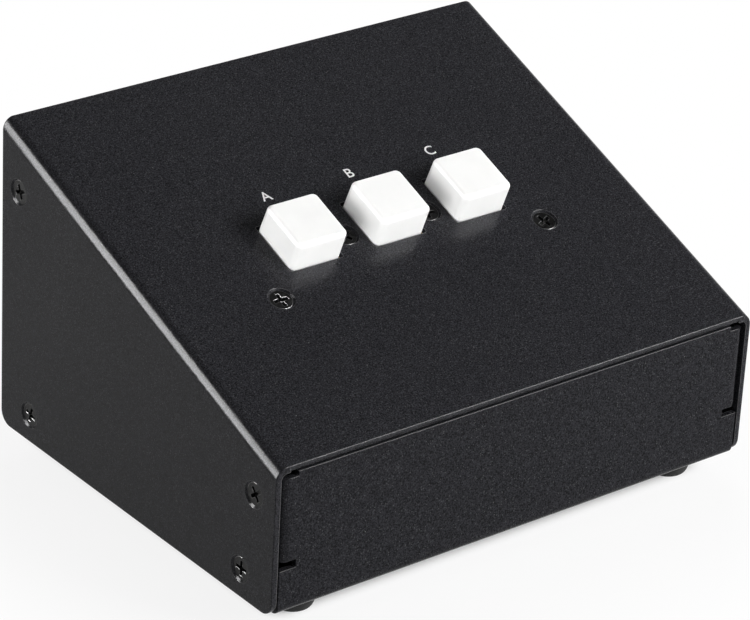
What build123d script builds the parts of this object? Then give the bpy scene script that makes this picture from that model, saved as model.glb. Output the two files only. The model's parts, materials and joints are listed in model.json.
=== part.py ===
from build123d import *
import os
from math import atan2, cos, degrees, hypot, sin, tan

# A desk box that sends one stereo signal to any of three pairs of loudspeakers.
# Millimetres. +X right, +Y back, +Z up, origin on the table under the middle of the object.

# Case, from the side flanges' lower edge up
CASE_W = 116.0
CASE_D = 90.0
FRONT_H = 31.0
REAR_H = 66.0
SHEET = 1.2
EDGE_R = 0.2
THROUGH = 4.0
TRIM = 2.0

# Top cover, one folded sheet
COVER_BEND_IN = 1.2
COVER_CORNER_R = 3.0
LIP_END = 0.8

# Chassis tray, one folded sheet
TRAY_BEND_IN = 0.6
SIDE_GAP = 0.35
PANEL_GAP = 0.4
FRONT_FLANGE_DROP = 1.0
RELIEF_W = 3.6
SLOT_Z = 9.4
SLOT_H = 1.6
SLOT_L = 3.75
FLANGE_L = 12.0
REAR_FLANGE_Z = 14.0
REAR_FLANGE_DROP = 2.0
TAB_W = 12.0
TAB_GAP = 0.6
TAB_RELIEF = 1.2
BEND_LAP = 1.0

# Countersunk screws, cross recess
SCREW_R = 1.25
SCREW_HEAD_R = 2.35
SINK_R = 2.75
SINK_ANGLE = 90
SCREW_HOLE_R = 1.4
SEAT_GAP = 0.03
THREAD_GAP = 0.05
CROSS_L = 3.2
CROSS_W = 0.8
CROSS_DEPTH = 0.9
CROSS_TAPER = 12
CROSS_TURN = 37
SIDE_SCREW_L = 7.0
PANEL_SCREW_L = 8.0
LOW_SCREW_Z = 5.8
FRONT_LOW_SCREW_Y = 9.9
FRONT_HIGH_SCREW_Y = 6.5
FRONT_HIGH_SCREW_Z = 23.0
REAR_LOW_SCREW_Y = 10.0
REAR_HIGH_SCREW_Y = 5.7
REAR_HIGH_SCREW_DROP = 13.6
FLANGE_HOLE_R = 1.7
HEX_SIDES = 6
NUT_AF = 5.0
NUT_H = 2.0

# Row of keys on the sloped panel
KEY_NAMES = ("a", "b", "c")
KEY_PITCH = 20.2
KEY_ROW_DROP = 0.3
TRAVEL = 3.5
CAP_TOP = 11.9
CAP_BOTTOM = 12.1
CAP_PROUD = 6.2
CAP_SKIRT = 3.0
CAP_CORNER_R = 1.3
CAP_EDGE_R = 0.9
CAP_WALL = 1.4
CAP_TOP_T = 1.6
CAP_BOSS = 6.4
CAP_BOSS_SHORT = 0.6
CAP_GAP = 0.3
CUTOUT_R = 0.5

# Latching push switch under each key
CAP_RUNOUT = 1.1
COLLAR = 7.0
COLLAR_H = 1.4
CEILING_T = 1.2
SWITCH_WALL = 1.0
SWITCH_EDGE_R = 0.5
CHAMBER = 8.4
STEM = 4.0
STEM_GAP = 0.1
STEM_FIT = 0.02
PLUNGER_FLANGE = 6.4
PLUNGER_FLANGE_T = 1.5
STOP_GAP = 0.1
CAM_L = 3.2
CAM_W = 3.0
CAM_T = 0.7
GROOVE_W = 0.9
GROOVE_DEPTH = 0.5
END_GAP = 0.7
SWITCH_BASE_T = 1.0
BASE_FIT = 0.05
SPIGOT_R = 1.3
SPIGOT_L = 2.0
CLIP_T = 0.3
CLIP_GAP = 0.1
SPRING_MEAN_R = 1.85
SPRING_WIRE_R = 0.2
SPRING_TURNS = 5
SPRING_GAP = 0.1
WIRE_R = 0.25
WIRE_WALL_GAP = 0.2
WIRE_BEND_R = 0.4
WIRE_REACH = 0.25
GROOVE_GAP = 0.15
TIP_MARGIN = 0.6
PIN_T = 0.3
PIN_W = 0.6
PIN_GAP = 0.15
PIN_PITCH = 2.0
PIN_COUNT = 3
PIN_FIT = 0.03
PIN_TAIL = 2.0

# Switch board on standoffs behind the panel
BOARD_T = 1.6
BOARD_EDGE = 5.8
BOARD_REAR_EDGE = 1.3
BOARD_CORNER_R = 1.5
BOARD_HOLE_R = 1.35
PIN_HOLE_R = 0.5
INNER_SCREW_DROP = 1.4
OUTER_SCREW_X = 32.3
OUTER_SCREW_DROP = 11.6
STANDOFF_AF = 5.0
PAN_HEAD_R = 2.4
PAN_HEAD_H = 1.7
PAN_EDGE_R = 0.6
BOARD_SCREW_L = 6.0

# Jack sockets on the rear panel, for 6.35 mm plugs
JACK_COLUMNS = ("input", "a", "b", "c")
JACK_ROWS = ("right", "left")
JACK_INSET_X = 23.5
JACK_PITCH_Z = 22.0
JACK_ROWS_DROP = 3.0
JACK_W = 15.0
JACK_L = 16.0
JACK_EDGE_R = 0.6
NOSE_R = 4.6
NOSE_PROUD = 5.0
NOSE_GAP = 0.2
NOSE_CHAMFER = 0.4
PLUG_BORE_R = 3.25
PLUG_BORE_L = 12.0
JACK_CHAMBER_R = 3.7
WASHER_R = 6.6
WASHER_T = 0.8
JACK_NUT_AF = 12.0
JACK_NUT_H = 2.2
LEAF_T = 0.4
LEAF_W = 2.4
LEAF_START = 2.0
LEAF_GAP = 0.2
LEAF_SIDE_GAP = 0.1
LEAF_BEND_IN = 0.3
LEAF_FOOT_R = 5.6
LEAF_FOOT_IN = 2.0
LEAF_COUNT = 3
LEAF_FIRST_ANGLE = 90
LEAF_HOLE_R = 1.4
TIP_HOLE_R = 3.9
JACK_BOARD_EDGE = 2.0

# Ribbon cable between the two boards
RIBBON_W = 20.3
RIBBON_T = 0.9
RIBBON_BEND_R = 2.5
HEADER_DEPTH = 5.2
HEADER_H = 2.0
HEADER_WALL = 0.7
HEADER_EDGE = 0.6
RIBBON_PLUG_H = 3.5

# Rubber feet
FOOT_R = 4.75
FOOT_FLAT_R = 3.4
FOOT_H = 4.2
FOOT_INSET_X = 11.2
FOOT_INSET_Y = 8.25

# Levels and places that follow from the sizes
FRONT_Y = -(CASE_D + NOSE_PROUD) / 2
REAR_Y = FRONT_Y + CASE_D
BASE_Z = FOOT_H
SLOPE = atan2(REAR_H - FRONT_H, CASE_D)
SLOPE_L = hypot(REAR_H - FRONT_H, CASE_D)
COVER_BEND_OUT = COVER_BEND_IN + SHEET
TRAY_BEND_OUT = TRAY_BEND_IN + SHEET
TRAY_HALF_W = CASE_W / 2 - SHEET - SIDE_GAP
FRONT_PANEL_TOP = BASE_Z + FRONT_H - SHEET * cos(SLOPE) - PANEL_GAP
FRONT_FLANGE_TOP = FRONT_PANEL_TOP - FRONT_FLANGE_DROP
FRONT_FLANGE_Z = BASE_Z + SLOT_Z + SLOT_H
REAR_PANEL_TOP = BASE_Z + REAR_H - SHEET * tan(SLOPE) - SHEET / cos(SLOPE) - PANEL_GAP
REAR_FLANGE_TOP = REAR_PANEL_TOP - FLANGE_L * tan(SLOPE) - REAR_FLANGE_DROP
TAB_TOP = BASE_Z + SLOT_Z + SLOT_H - TAB_GAP
SCREW_DEPTH = SINK_R - SCREW_HEAD_R - SEAT_GAP
CUTOUT = CAP_BOTTOM + 2 * CAP_GAP

PANEL = Plane(
    origin=(0, FRONT_Y, BASE_Z + FRONT_H), x_dir=(1, 0, 0), z_dir=(0, -sin(SLOPE), cos(SLOPE))
)
KEY_ROW_U = SLOPE_L / 2 - KEY_ROW_DROP
KEY_X = [KEY_PITCH * (i - (len(KEY_NAMES) - 1) / 2) for i in range(len(KEY_NAMES))]

# Depths below the panel's outer face, along its normal
COLLAR_TOP_D = CAP_SKIRT + TRAVEL + CAP_RUNOUT
SWITCH_TOP_D = COLLAR_TOP_D + COLLAR_H
CHAMBER_TOP_D = SWITCH_TOP_D + CEILING_T
PLUNGER_TOP_D = CHAMBER_TOP_D + STOP_GAP
PLUNGER_BOTTOM_D = PLUNGER_TOP_D + PLUNGER_FLANGE_T
CAM_END_D = PLUNGER_BOTTOM_D + CAM_L
SWITCH_BASE_D = CAM_END_D + TRAVEL + END_GAP
BOARD_D = SWITCH_BASE_D + SWITCH_BASE_T
BOARD_BOTTOM_D = BOARD_D + BOARD_T
STANDOFF_L = BOARD_D - SHEET
WIRE_TIP_D = PLUNGER_TOP_D + TRAVEL + TIP_MARGIN
CLIP_HALF = PLUNGER_FLANGE / 2 + CLIP_T
PIN_X = CLIP_HALF + PIN_GAP + PIN_T / 2
SWITCH_W = CHAMBER + 2 * SWITCH_WALL

# The panel's screws: two between the keys, two outside and lower
INNER_SCREW_U = KEY_ROW_U - INNER_SCREW_DROP
OUTER_SCREW_U = KEY_ROW_U - OUTER_SCREW_DROP
PANEL_SCREW_XU = [
    (-OUTER_SCREW_X, OUTER_SCREW_U),
    (-KEY_PITCH / 2, INNER_SCREW_U),
    (KEY_PITCH / 2, INNER_SCREW_U),
    (OUTER_SCREW_X, OUTER_SCREW_U),
]

# The side screws, as places along the depth and up the side
SIDE_SCREW_YZ = [
    (FRONT_Y + FRONT_LOW_SCREW_Y, BASE_Z + LOW_SCREW_Z),
    (FRONT_Y + FRONT_HIGH_SCREW_Y, BASE_Z + FRONT_HIGH_SCREW_Z),
    (REAR_Y - REAR_LOW_SCREW_Y, BASE_Z + LOW_SCREW_Z),
    (REAR_Y - REAR_HIGH_SCREW_Y, BASE_Z + REAR_H - REAR_HIGH_SCREW_DROP),
]

# The jacks' axes on the rear panel
JACK_MID_Z = BASE_Z + REAR_H / 2 - JACK_ROWS_DROP
JACK_PITCH_X = (CASE_W - 2 * JACK_INSET_X) / (len(JACK_COLUMNS) - 1)
JACK_X = [CASE_W / 2 - JACK_INSET_X - JACK_PITCH_X * i for i in range(len(JACK_COLUMNS))]
JACK_Z = [JACK_MID_Z + JACK_PITCH_Z * (i - (len(JACK_ROWS) - 1) / 2) for i in range(len(JACK_ROWS))]
JACK_FACE_Y = REAR_Y - SHEET
JACK_BACK_Y = JACK_FACE_Y - JACK_L
JACK_BOARD_Y = JACK_BACK_Y - BOARD_T
LEAF_R = PLUG_BORE_R + LEAF_GAP
JACK_HEADER_Z = JACK_Z[0] - LEAF_FOOT_R - HEADER_DEPTH / 2

STANDING = (Align.CENTER, Align.CENTER, Align.MIN)
HANGING = (Align.CENTER, Align.CENTER, Align.MAX)


def panel_plane(x, u, depth=0.0, inward=False):
    """A plane parallel to the sloped panel, at x across and u up it, facing out or in."""
    side = -1 if inward else 1
    return Plane(
        origin=PANEL.from_local_coords((x, u, -depth)), x_dir=PANEL.x_dir, z_dir=PANEL.z_dir * side
    )


def side_plane(side, y, z, inset=0.0, inward=False):
    """A plane parallel to a side flange, facing out of the case or into it."""
    facing = -side if inward else side
    return Plane(origin=(side * (CASE_W / 2 - inset), y, z), x_dir=(0, 1, 0), z_dir=(facing, 0, 0))


def rear_plane(x, z, y=REAR_Y):
    """A plane parallel to the rear panel, facing back."""
    return Plane(origin=(x, y, z), x_dir=(-1, 0, 0), z_dir=(0, 1, 0))


def jack_places(y=REAR_Y):
    return [rear_plane(x, z, y) for x in JACK_X for z in JACK_Z]


def side_places(inset=0.0, inward=False, sides=(-1, 1)):
    return [side_plane(side, y, z, inset, inward) for side in sides for y, z in SIDE_SCREW_YZ]


def rim_edges(faces):
    """The edges that bound a set of joined faces."""
    edges = faces.edges()
    return [edge for edge in edges if sum(edge.is_same(other) for other in edges) == 1]


def save(part, name):
    part.label = name
    export_step(part, f"parts/{name}.step")


os.makedirs("parts", exist_ok=True)

# Top cover: the folded section runs along the slope and is trimmed to the side outline
section_start = -FRONT_H * sin(SLOPE) - TRIM
section_leg = CASE_D * sin(SLOPE) + FRONT_H * cos(SLOPE) + TRIM
with BuildPart() as top_cover:
    section_plane = Plane(
        origin=PANEL.from_local_coords((0, section_start, 0)), x_dir=PANEL.x_dir, z_dir=PANEL.y_dir
    )
    with BuildSketch(section_plane):
        with BuildLine():
            skin = FilletPolyline(
                (-CASE_W / 2, section_leg),
                (-CASE_W / 2, 0),
                (CASE_W / 2, 0),
                (CASE_W / 2, section_leg),
                radius=COVER_BEND_OUT,
            )
            offset(skin, amount=SHEET, side=Side.LEFT)
        make_face()
    extrude(amount=SLOPE_L - section_start + TRIM)
    with BuildSketch(Plane.YZ) as side_outline:
        with BuildLine():
            Polyline(
                (FRONT_Y, BASE_Z),
                (REAR_Y, BASE_Z),
                (REAR_Y, BASE_Z + REAR_H + TRIM),
                (FRONT_Y, BASE_Z + FRONT_H + TRIM),
                close=True,
            )
        make_face()
        fillet(side_outline.vertices().group_by(Axis.Y)[0], radius=COVER_CORNER_R)
    extrude(amount=CASE_W, both=True, mode=Mode.INTERSECT)
    flat_faces = top_cover.faces().filter_by(GeomType.PLANE)
    flanges = flat_faces.filter_by(Axis.X).sort_by(Axis.X)
    sloped = flat_faces.filter_by(PANEL).sort_by(Axis(PANEL.origin, PANEL.z_dir))
    bends = top_cover.faces().filter_by(GeomType.CYLINDER).filter_by(
        lambda face: abs(face.radius - COVER_BEND_OUT) < EDGE_R
        and face.axis_of_rotation.is_parallel(Axis((0, 0, 0), PANEL.y_dir))
    )
    fillet(rim_edges(ShapeList([flanges[0], flanges[-1], sloped[-1]] + bends)), radius=EDGE_R)
    # The sloped sheet's front edge is cut square to the sheet, under its rounded arris
    lip_z = BASE_Z + FRONT_H - EDGE_R / cos(SLOPE)
    with BuildSketch(Plane.YZ):
        with BuildLine():
            Polyline(
                (FRONT_Y, lip_z),
                (FRONT_Y + THROUGH * sin(SLOPE), lip_z - THROUGH * cos(SLOPE)),
                (FRONT_Y - TRIM, lip_z - THROUGH * cos(SLOPE)),
                (FRONT_Y - TRIM, lip_z),
                close=True,
            )
        make_face()
    extrude(amount=CASE_W / 2 - COVER_BEND_OUT - LIP_END, both=True, mode=Mode.SUBTRACT)
    with BuildSketch(PANEL):
        with Locations(*[(x, KEY_ROW_U) for x in KEY_X]):
            RectangleRounded(CUTOUT, CUTOUT, CUTOUT_R)
    extrude(amount=-THROUGH, mode=Mode.SUBTRACT)
    with Locations(*[panel_plane(x, u) for x, u in PANEL_SCREW_XU], *side_places()):
        CounterSinkHole(SCREW_HOLE_R, SINK_R, depth=THROUGH, counter_sink_angle=SINK_ANGLE)
save(top_cover.part, "top_cover")

# Chassis tray: front panel, base and rear panel, with bent-back flanges and upturned tabs
front_view = Plane.XZ.offset(-FRONT_Y)
rear_view = Plane.XZ.offset(-REAR_Y)
bend_start = TRAY_HALF_W - TRAY_BEND_OUT
with BuildPart() as chassis_tray:
    with BuildSketch(Plane.YZ):
        with BuildLine():
            fold = FilletPolyline(
                (FRONT_Y, FRONT_PANEL_TOP),
                (FRONT_Y, BASE_Z),
                (REAR_Y, BASE_Z),
                (REAR_Y, REAR_PANEL_TOP),
                radius=TRAY_BEND_OUT,
            )
            offset(fold, amount=SHEET, side=Side.LEFT)
        make_face()
    extrude(amount=TRAY_HALF_W)
    # Slots and reliefs that set the flanges free from the panels
    front_relief = FRONT_PANEL_TOP - FRONT_FLANGE_TOP + TRIM
    for view, low, high, relief, reach in (
        (front_view, FRONT_FLANGE_Z, FRONT_FLANGE_TOP, front_relief, -THROUGH),
        (rear_view, BASE_Z + REAR_FLANGE_Z, REAR_FLANGE_TOP, SLOT_H, THROUGH),
    ):
        with BuildSketch(view):
            with Locations((TRAY_HALF_W, low)):
                Rectangle(SLOT_L, SLOT_H, align=(Align.MAX, Align.MAX))
                Rectangle(TRAY_BEND_OUT, high - low, align=(Align.MAX, Align.MIN))
            with Locations((TRAY_HALF_W, high)):
                Rectangle(RELIEF_W, relief, align=(Align.MAX, Align.MIN))
        extrude(amount=reach, mode=Mode.SUBTRACT)
    # Side flanges bent back from the front panel and forward from the rear panel
    for y, turn, inside, low, high in (
        (FRONT_Y, FLANGE_L, Side.LEFT, FRONT_FLANGE_Z, FRONT_FLANGE_TOP),
        (REAR_Y, -FLANGE_L, Side.RIGHT, BASE_Z + REAR_FLANGE_Z, REAR_FLANGE_TOP),
    ):
        with BuildSketch(Plane.XY.offset(low)):
            with BuildLine():
                bent = FilletPolyline(
                    (bend_start - BEND_LAP, y),
                    (TRAY_HALF_W, y),
                    (TRAY_HALF_W, y + turn),
                    radius=TRAY_BEND_OUT,
                )
                offset(bent, amount=SHEET, side=inside)
            make_face()
        extrude(amount=high - low)
    # Tabs turned up from the base
    tab_y = [FRONT_Y + FRONT_LOW_SCREW_Y, REAR_Y - REAR_LOW_SCREW_Y]
    with BuildSketch(Plane.XY.offset(BASE_Z)):
        with Locations(*[(TRAY_HALF_W, y) for y in tab_y]):
            Rectangle(TRAY_BEND_OUT, TAB_W + 2 * TAB_RELIEF, align=(Align.MAX, Align.CENTER))
    extrude(amount=SHEET, mode=Mode.SUBTRACT)
    with BuildSketch(*[Plane.XZ.offset(-y) for y in tab_y]):
        with BuildLine():
            bent = FilletPolyline(
                (bend_start - BEND_LAP, BASE_Z),
                (TRAY_HALF_W, BASE_Z),
                (TRAY_HALF_W, TAB_TOP),
                radius=TRAY_BEND_OUT,
            )
            offset(bent, amount=SHEET, side=Side.LEFT)
        make_face()
    extrude(amount=TAB_W / 2, both=True)
    with Locations(*side_places(inset=CASE_W / 2 - TRAY_HALF_W, sides=(1,))):
        Hole(FLANGE_HOLE_R, depth=THROUGH)
    with Locations(*[place for place in jack_places() if place.origin.X > 0]):
        Hole(NOSE_R + NOSE_GAP, depth=THROUGH)
    mirror(about=Plane.YZ)
    front_face = chassis_tray.faces().filter_by(Axis.Y).sort_by(Axis.Y)[0]
    panel_edges = front_face.edges().filter_by(
        lambda edge: edge.center().Z > BASE_Z + TRAY_BEND_OUT + EDGE_R
        and abs(abs(edge.center().X) - bend_start) > EDGE_R
    )
    fillet(panel_edges, radius=EDGE_R)
save(chassis_tray.part, "chassis_tray")


def flat_screws(places, length):
    """Countersunk screws with a cross recess, heads just under the outer face of the sheet."""
    heads = [
        Plane(place.offset(-SCREW_DEPTH).location * Rotation(0, 0, CROSS_TURN * i))
        for i, place in enumerate(places)
    ]
    with BuildPart() as screws:
        with Locations(*heads):
            Cylinder(SCREW_R, length, align=HANGING)
            Cone(SCREW_R, SCREW_HEAD_R, SCREW_HEAD_R - SCREW_R, align=HANGING)
        with BuildSketch(*heads):
            Rectangle(CROSS_L, CROSS_W)
            Rectangle(CROSS_W, CROSS_L)
        extrude(amount=-CROSS_DEPTH, taper=CROSS_TAPER, mode=Mode.SUBTRACT)
    return screws.part


# Fasteners of the case
save(flat_screws(side_places(), SIDE_SCREW_L), "side_screws")
save(flat_screws([panel_plane(x, u) for x, u in PANEL_SCREW_XU], PANEL_SCREW_L), "panel_screws")

with BuildPart() as side_nuts:
    with BuildSketch(*side_places(inset=CASE_W / 2 - TRAY_HALF_W + SHEET, inward=True)):
        RegularPolygon(NUT_AF / 2, HEX_SIDES, major_radius=False)
        Circle(SCREW_R + THREAD_GAP, mode=Mode.SUBTRACT)
    extrude(amount=NUT_H)
save(side_nuts.part, "side_nuts")

# Standoffs under the panel's screws, relieved for the cone of the screw heads
standoff_places = [panel_plane(x, u, SHEET, inward=True) for x, u in PANEL_SCREW_XU]
cone_r = SINK_R - SHEET + THREAD_GAP
with BuildPart() as standoffs:
    with BuildSketch(*standoff_places):
        RegularPolygon(STANDOFF_AF / 2, HEX_SIDES, major_radius=False)
        Circle(SCREW_R + THREAD_GAP, mode=Mode.SUBTRACT)
    extrude(amount=STANDOFF_L)
    with Locations(*standoff_places):
        Cone(cone_r, SCREW_R, cone_r - SCREW_R, align=STANDING, mode=Mode.SUBTRACT)
save(standoffs.part, "standoffs")

# Pan-head screws that hold the switch board to the standoffs
with BuildPart() as board_screws:
    with Locations(*[panel_plane(x, u, BOARD_BOTTOM_D, inward=True) for x, u in PANEL_SCREW_XU]):
        Cylinder(PAN_HEAD_R, PAN_HEAD_H, align=STANDING)
        Cylinder(SCREW_R, BOARD_SCREW_L, align=HANGING)
    crown_depth = BOARD_BOTTOM_D + PAN_HEAD_H
    crowns = board_screws.edges().filter_by(GeomType.CIRCLE).filter_by(
        lambda edge: abs(PANEL.to_local_coords(edge.arc_center).Z + crown_depth) < EDGE_R
    )
    fillet(crowns, radius=PAN_EDGE_R)
save(board_screws.part, "board_screws")

# Switch board
board_low_u = OUTER_SCREW_U - BOARD_EDGE
board_high_u = KEY_ROW_U + SWITCH_W / 2 + BOARD_REAR_EDGE
pin_places = [
    (side * PIN_X, PIN_PITCH * (i - (PIN_COUNT - 1) / 2)) for side in (-1, 1) for i in range(PIN_COUNT)
]
pin_holes = [panel_plane(x + dx, KEY_ROW_U + du, BOARD_D) for x in KEY_X for dx, du in pin_places]
with BuildPart() as switch_board:
    with BuildSketch(panel_plane(0, (board_low_u + board_high_u) / 2, BOARD_D)):
        RectangleRounded(2 * (OUTER_SCREW_X + BOARD_EDGE), board_high_u - board_low_u, BOARD_CORNER_R)
    extrude(amount=-BOARD_T)
    with Locations(*[panel_plane(x, u, BOARD_D) for x, u in PANEL_SCREW_XU]):
        Hole(BOARD_HOLE_R, depth=THROUGH)
    with Locations(*pin_holes):
        Hole(PIN_HOLE_R, depth=THROUGH)
save(switch_board.part, "switch_board")


def key_plane(x, depth=0.0):
    """A plane across the axis of the key at x, facing out of the panel."""
    return panel_plane(x, KEY_ROW_U, depth)


def key_side_plane(x):
    """The plane through the axis of the key at x, up the slope and out of the panel."""
    return Plane(origin=key_plane(x).origin, x_dir=PANEL.y_dir, z_dir=PANEL.x_dir)


def key_cap(x):
    """Hollow square cap with a socket for the stem."""
    boss_end_d = CAP_SKIRT - CAP_BOSS_SHORT
    ceiling_d = CAP_TOP_T - CAP_PROUD
    with BuildPart() as cap:
        with BuildSketch(key_plane(x, CAP_SKIRT)):
            RectangleRounded(CAP_BOTTOM, CAP_BOTTOM, CAP_CORNER_R)
        with BuildSketch(key_plane(x, -CAP_PROUD)):
            RectangleRounded(CAP_TOP, CAP_TOP, CAP_CORNER_R)
        loft()
        top_rim = cap.faces().sort_by(Axis(PANEL.origin, PANEL.z_dir))[-1].edges()
        fillet(top_rim, radius=CAP_EDGE_R)
        with BuildSketch(key_plane(x, CAP_SKIRT)):
            Rectangle(CAP_TOP - 2 * CAP_WALL, CAP_TOP - 2 * CAP_WALL)
        extrude(amount=CAP_SKIRT - ceiling_d, mode=Mode.SUBTRACT)
        with BuildSketch(key_plane(x, boss_end_d)):
            Rectangle(CAP_BOSS, CAP_BOSS)
            Rectangle(STEM + 2 * STEM_FIT, STEM + 2 * STEM_FIT, mode=Mode.SUBTRACT)
        extrude(amount=boss_end_d - ceiling_d)
    return cap.part


def plunger(x):
    """Square stem with a stop flange, a spring spigot and a plate with the latch groove."""
    stem_top_d = CAP_TOP_T - CAP_PROUD + SEAT_GAP
    face_u = -PLUNGER_FLANGE / 2
    groove_d = WIRE_TIP_D - TRAVEL - WIRE_R - GROOVE_GAP
    groove_l = TRAVEL + 2 * (WIRE_R + GROOVE_GAP)
    with BuildPart() as body:
        with BuildSketch(key_plane(x, PLUNGER_TOP_D)):
            Rectangle(STEM, STEM)
        extrude(amount=PLUNGER_TOP_D - stem_top_d)
        with BuildSketch(key_plane(x, PLUNGER_TOP_D)):
            Rectangle(PLUNGER_FLANGE, PLUNGER_FLANGE)
        extrude(amount=-PLUNGER_FLANGE_T)
        with BuildSketch(key_plane(x, PLUNGER_BOTTOM_D)):
            Circle(SPIGOT_R)
        extrude(amount=-SPIGOT_L)
        with BuildSketch(key_plane(x, PLUNGER_BOTTOM_D)):
            with Locations((0, face_u)):
                Rectangle(CAM_W, CAM_T, align=(Align.CENTER, Align.MIN))
        extrude(amount=-CAM_L)
        with BuildSketch(key_plane(x, groove_d)):
            with Locations((0, face_u)):
                Rectangle(GROOVE_W, GROOVE_DEPTH, align=(Align.CENTER, Align.MIN))
        extrude(amount=-groove_l, mode=Mode.SUBTRACT)
    return body.part


def switch_body(x):
    """Square housing open at the bottom, with a collar round the stem."""
    with BuildPart() as body:
        with BuildSketch(key_plane(x, BOARD_D)):
            RectangleRounded(SWITCH_W, SWITCH_W, SWITCH_EDGE_R)
        extrude(amount=BOARD_D - SWITCH_TOP_D)
        with BuildSketch(key_plane(x, SWITCH_TOP_D)):
            RectangleRounded(COLLAR, COLLAR, SWITCH_EDGE_R)
        extrude(amount=COLLAR_H)
        with BuildSketch(key_plane(x, BOARD_D)):
            Rectangle(CHAMBER, CHAMBER)
        extrude(amount=BOARD_D - CHAMBER_TOP_D, mode=Mode.SUBTRACT)
        with BuildSketch(key_plane(x, CHAMBER_TOP_D)):
            Rectangle(STEM + 2 * STEM_GAP, STEM + 2 * STEM_GAP)
        extrude(amount=CHAMBER_TOP_D - COLLAR_TOP_D, mode=Mode.SUBTRACT)
    return body.part


def switch_base(x):
    """Plate that closes the housing and carries the contact pins."""
    with BuildPart() as base:
        with BuildSketch(key_plane(x, SWITCH_BASE_D)):
            Rectangle(CHAMBER - 2 * BASE_FIT, CHAMBER - 2 * BASE_FIT)
            with Locations(*pin_places):
                Rectangle(PIN_T + 2 * PIN_FIT, PIN_W + 2 * PIN_FIT, mode=Mode.SUBTRACT)
        extrude(amount=-SWITCH_BASE_T)
    return base.part


def switch_pins(x):
    """Flat contact pins beside the clip, with tails through the board."""
    top_d = PLUNGER_BOTTOM_D + TRAVEL
    with BuildPart() as pins:
        with BuildSketch(key_plane(x, top_d)):
            with Locations(*pin_places):
                Rectangle(PIN_T, PIN_W)
        extrude(amount=-(BOARD_BOTTOM_D + PIN_TAIL - top_d))
    return pins.part


def contact_clip(x):
    """Sprung metal bridge under the plunger's flange that joins the two rows of pins."""
    half_u = PLUNGER_FLANGE / 2 - CAM_T - CLIP_GAP
    with BuildPart() as clip:
        with BuildSketch(key_plane(x, PLUNGER_BOTTOM_D)):
            Rectangle(2 * CLIP_HALF, 2 * half_u)
            Circle(SPIGOT_R + CLIP_GAP, mode=Mode.SUBTRACT)
        extrude(amount=-CLIP_T)
        with BuildSketch(key_plane(x, PLUNGER_BOTTOM_D)):
            with Locations((-CLIP_HALF + CLIP_T / 2, 0), (CLIP_HALF - CLIP_T / 2, 0)):
                Rectangle(CLIP_T, 2 * half_u)
        extrude(amount=-CAM_L)
    return clip.part


def return_spring(x):
    """Compression spring between the clip and the switch's base."""
    low_d = SWITCH_BASE_D - SPRING_GAP - SPRING_WIRE_R
    high_d = PLUNGER_BOTTOM_D + CLIP_T + SPRING_GAP + SPRING_WIRE_R
    rise = low_d - high_d
    foot = key_plane(x, low_d)
    with BuildPart() as spring:
        with BuildLine():
            coil = Helix(
                rise / SPRING_TURNS,
                rise,
                SPRING_MEAN_R,
                center=foot.origin,
                direction=foot.z_dir,
            )
        with BuildSketch(Plane(origin=coil @ 0, x_dir=foot.z_dir, z_dir=coil % 0)):
            Circle(SPRING_WIRE_R)
        sweep(path=coil, is_frenet=True)
    return spring.part


def latch_wire(x):
    """Bent wire whose tip rides in the plunger's groove."""
    wire_u = -CHAMBER / 2 + WIRE_WALL_GAP + WIRE_R
    tip_u = -PLUNGER_FLANGE / 2 + WIRE_REACH
    with BuildPart() as wire:
        with BuildLine(key_side_plane(x)) as route:
            FilletPolyline(
                (wire_u, -SWITCH_BASE_D), (wire_u, -WIRE_TIP_D), (tip_u, -WIRE_TIP_D), radius=WIRE_BEND_R
            )
        with BuildSketch(key_plane(x, SWITCH_BASE_D)):
            with Locations((0, wire_u)):
                Circle(WIRE_R)
        sweep(path=route.line)
    return wire.part


# The pieces of each key
for name, x in zip(KEY_NAMES, KEY_X):
    save(key_cap(x), f"key_cap_{name}")
    save(plunger(x), f"plunger_{name}")
    save(contact_clip(x), f"contact_clip_{name}")
    save(switch_body(x), f"switch_body_{name}")
    save(switch_base(x), f"switch_base_{name}")
    save(switch_pins(x), f"switch_pins_{name}")
    save(return_spring(x), f"return_spring_{name}")
    save(latch_wire(x), f"latch_wire_{name}")


def jack_body(x, z):
    """Moulded socket: square housing, round nose, plug bore and slots for the contact leaves."""
    face = rear_plane(x, z, JACK_FACE_Y)
    nose_end = rear_plane(x, z, REAR_Y + NOSE_PROUD)
    leaf_turns = PolarLocations(0, LEAF_COUNT, start_angle=LEAF_FIRST_ANGLE)
    slot_w = LEAF_W + 2 * LEAF_SIDE_GAP
    slot_t = LEAF_T + LEAF_SIDE_GAP
    outward = (Align.MIN, Align.CENTER)
    with BuildPart() as body:
        with BuildSketch(face):
            RectangleRounded(JACK_W, JACK_W, JACK_EDGE_R)
        extrude(amount=-JACK_L)
        with BuildSketch(face):
            Circle(NOSE_R)
        extrude(amount=SHEET + NOSE_PROUD)
        chamfer(body.faces().sort_by(Axis.Y)[-1].edges(), length=NOSE_CHAMFER)
        with Locations(nose_end):
            Hole(PLUG_BORE_R, depth=PLUG_BORE_L)
        with BuildSketch(nose_end.offset(-PLUG_BORE_L)):
            Circle(JACK_CHAMBER_R)
        extrude(amount=-JACK_L, mode=Mode.SUBTRACT)
        with BuildSketch(nose_end.offset(-PLUG_BORE_L)):
            with leaf_turns:
                Rectangle(LEAF_R + slot_t, slot_w, align=outward)
        extrude(amount=-JACK_L, mode=Mode.SUBTRACT)
        with BuildSketch(rear_plane(x, z, JACK_BACK_Y + LEAF_FOOT_IN + LEAF_SIDE_GAP)):
            with leaf_turns:
                Rectangle(LEAF_FOOT_R + slot_t, slot_w, align=outward)
        extrude(amount=-JACK_L, mode=Mode.SUBTRACT)
    return body.part


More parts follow.
